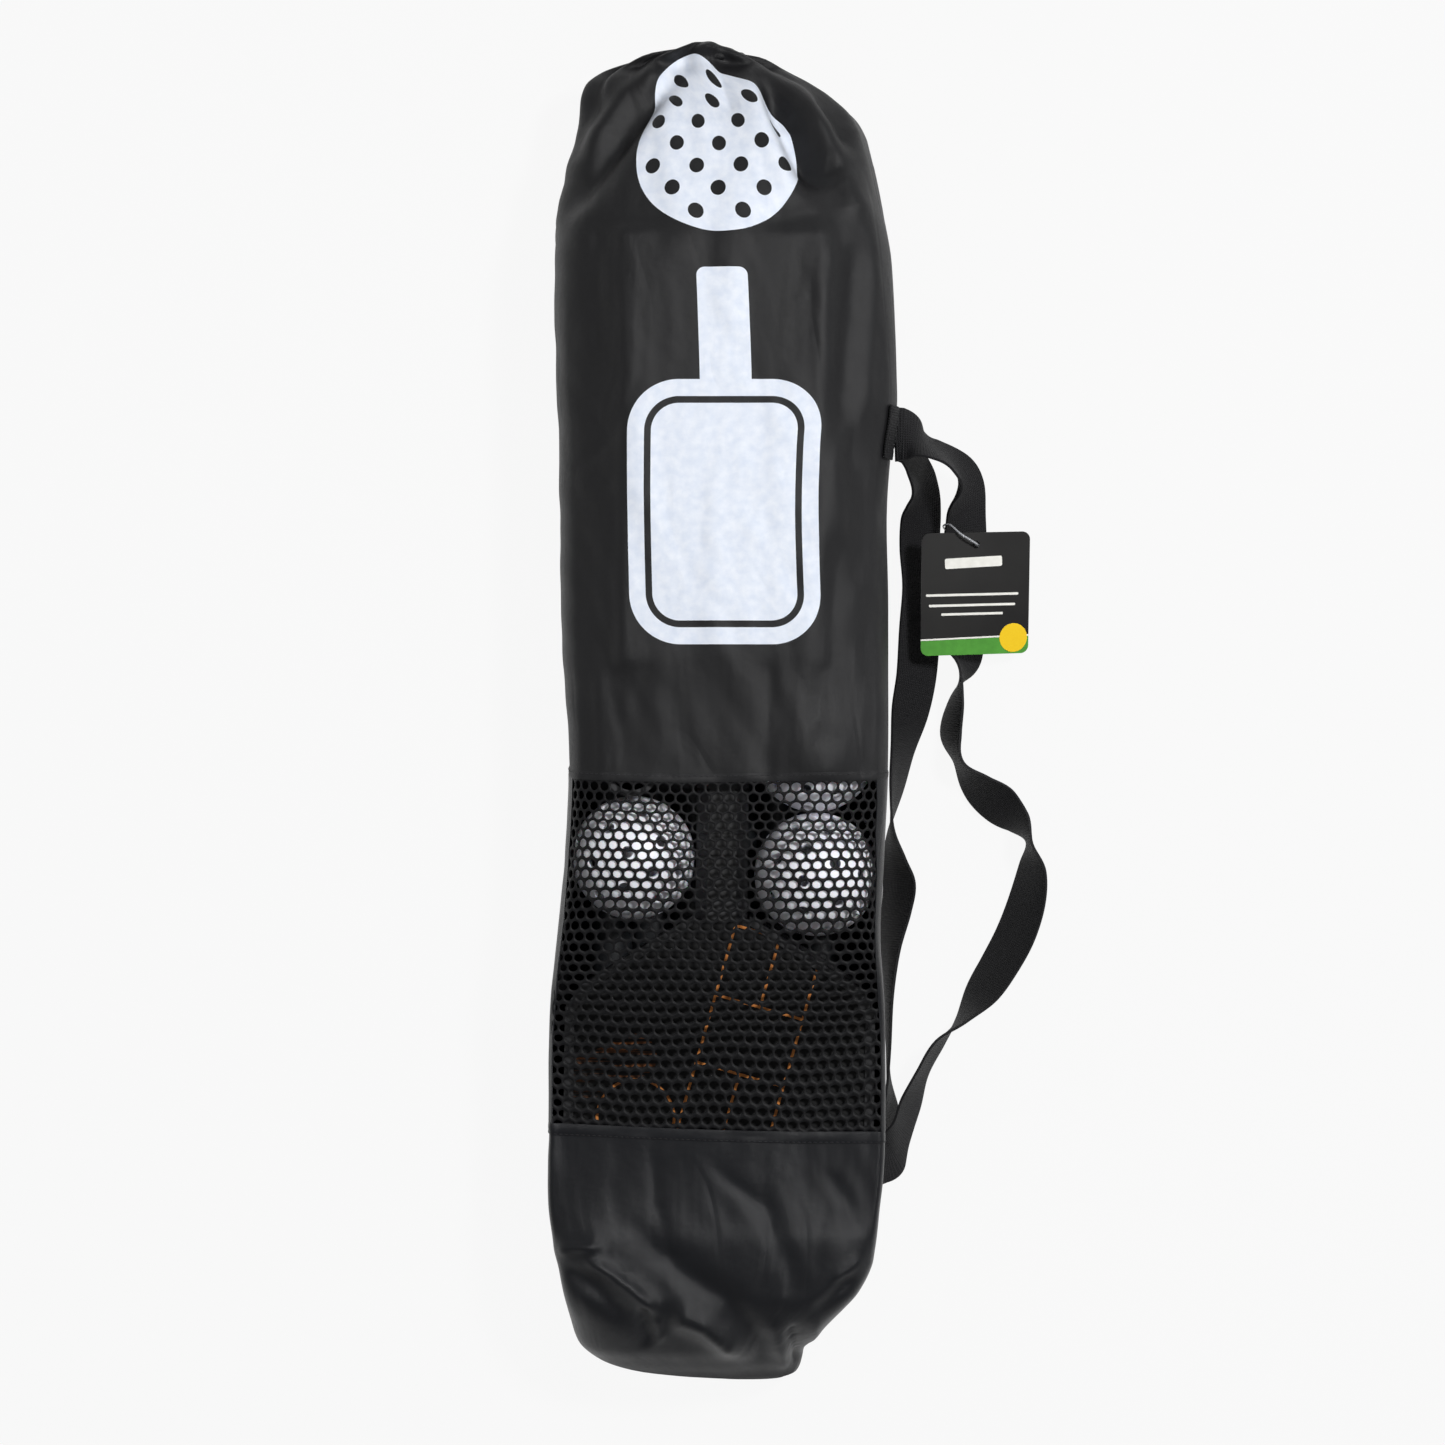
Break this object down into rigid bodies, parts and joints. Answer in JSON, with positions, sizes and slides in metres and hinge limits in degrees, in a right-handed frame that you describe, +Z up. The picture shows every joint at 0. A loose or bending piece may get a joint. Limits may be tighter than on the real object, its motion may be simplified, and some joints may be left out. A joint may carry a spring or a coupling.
{
  "type": "pickleball portable net set in carry bag",
  "caption": "Portable net frame, rolled net, two paddles and perforated balls packed in a drawn carry bag with a mesh window, webbing straps and a hang tag.",
  "frame": {"origin": "on the floor under the middle of the bag, which lies on its back", "axes": "+Y along the bag towards its drawn mouth, +X towards the straps, +Z up through the mesh window"},
  "size_m": [0.305, 0.8203, 0.1286],
  "materials": {
    "bag_cloth": "woven polyester, soft sheen",
    "bag_mesh": "knitted mesh",
    "webbing": "woven webbing",
    "tag_card": "coated card",
    "tag_sticker": "gloss paper",
    "tag_loop": "clear nylon",
    "ball_plastic": "moulded polyethylene",
    "paddle_face": "fine textured face",
    "edge_rubber": "matt",
    "grip_tape": "cushioned tape",
    "moulded_plastic": "moulded",
    "foot_rubber": "matt",
    "tube_steel": "powder coated",
    "bright_steel": "plated",
    "net_cord": "knotted netting",
    "head_tape": "vinyl coated tape"
  },
  "bodies": {
    "root": {"bag_back_panel": "bag_cloth", "bag_upper_panel": "bag_cloth", "bag_mesh_window": "bag_mesh", "bag_lower_panel": "bag_cloth", "bag_foot_closure": "bag_cloth", "mouth_hem": "bag_cloth", "mouth_eyelet": "bright_steel", "window_hem_upper": "bag_cloth", "window_hem_lower": "bag_cloth", "strap_anchor_top": "webbing", "strap_anchor_bottom": "webbing", "ball_left": "ball_plastic", "ball_right": "ball_plastic", "ball_upper": "ball_plastic", "front_paddle_blade": "paddle_face", "front_paddle_edge_guard": "edge_rubber", "front_paddle_grip": "grip_tape", "front_paddle_collar": "moulded_plastic", "front_paddle_butt_cap": "moulded_plastic", "rear_paddle_blade": "paddle_face", "rear_paddle_edge_guard": "edge_rubber", "rear_paddle_grip": "grip_tape", "rear_paddle_collar": "moulded_plastic", "rear_paddle_butt_cap": "moulded_plastic", "crossbar_1": "tube_steel", "crossbar_2": "tube_steel", "crossbar_3": "tube_steel", "crossbar_4": "tube_steel", "last_crossbar": "tube_steel", "lower_upright_left": "tube_steel", "lower_upright_right": "tube_steel", "upper_upright_left": "tube_steel", "upper_upright_right": "tube_steel", "foot_tube_left": "tube_steel", "foot_tube_right": "tube_steel", "tube_end_plugs": "moulded_plastic", "rubber_feet": "foot_rubber", "corner_connector_left": "moulded_plastic", "corner_connector_right": "moulded_plastic", "button_spring_1": "bright_steel", "button_spring_2": "bright_steel", "button_spring_3": "bright_steel", "button_spring_4": "bright_steel", "net_roll": "net_cord", "net_head_tape": "head_tape", "net_tie": "webbing"},
    "straps": {"outer_strap": "webbing", "inner_strap": "webbing", "tag_loop": "tag_loop"},
    "tag": {"tag_card": "tag_card", "tag_sticker": "tag_sticker"},
    "button_1": {"snap_button_1": "bright_steel"},
    "button_2": {"snap_button_2": "bright_steel"},
    "button_3": {"snap_button_3": "bright_steel"},
    "button_4": {"snap_button_4": "bright_steel"}
  },
  "joints": [
    {"name": "strap_swing", "type": "hinge", "parent": "root", "child": "straps", "pos_m": [0.10475, -0.0475, 0.05967], "axis": [-0.0133, -0.9958, -0.0903], "range_deg": [0, 75]},
    {"name": "tag_swing", "type": "hinge", "parent": "straps", "child": "tag", "pos_m": [0.1605, 0.11, 0.036], "axis": [-0.9738, -0.034, 0.225], "range_deg": [0, 60]},
    {"name": "button_1_press", "type": "slide", "parent": "root", "child": "button_1", "axis": [0, 0, -1], "range_m": [0, 0.0035], "stiffness_N_per_m": 400, "springref_m": -0.002, "deforming": ["button_spring_1"]},
    {"name": "button_2_press", "type": "slide", "parent": "root", "child": "button_2", "axis": [0, 0, -1], "range_m": [0, 0.0035], "stiffness_N_per_m": 400, "springref_m": -0.002, "deforming": ["button_spring_2"]},
    {"name": "button_3_press", "type": "slide", "parent": "root", "child": "button_3", "axis": [0, 0, -1], "range_m": [0, 0.0035], "stiffness_N_per_m": 400, "springref_m": -0.002, "deforming": ["button_spring_3"]},
    {"name": "button_4_press", "type": "slide", "parent": "root", "child": "button_4", "axis": [0, 0, -1], "range_m": [0, 0.0035], "stiffness_N_per_m": 400, "springref_m": -0.002, "deforming": ["button_spring_4"]}
  ]
}
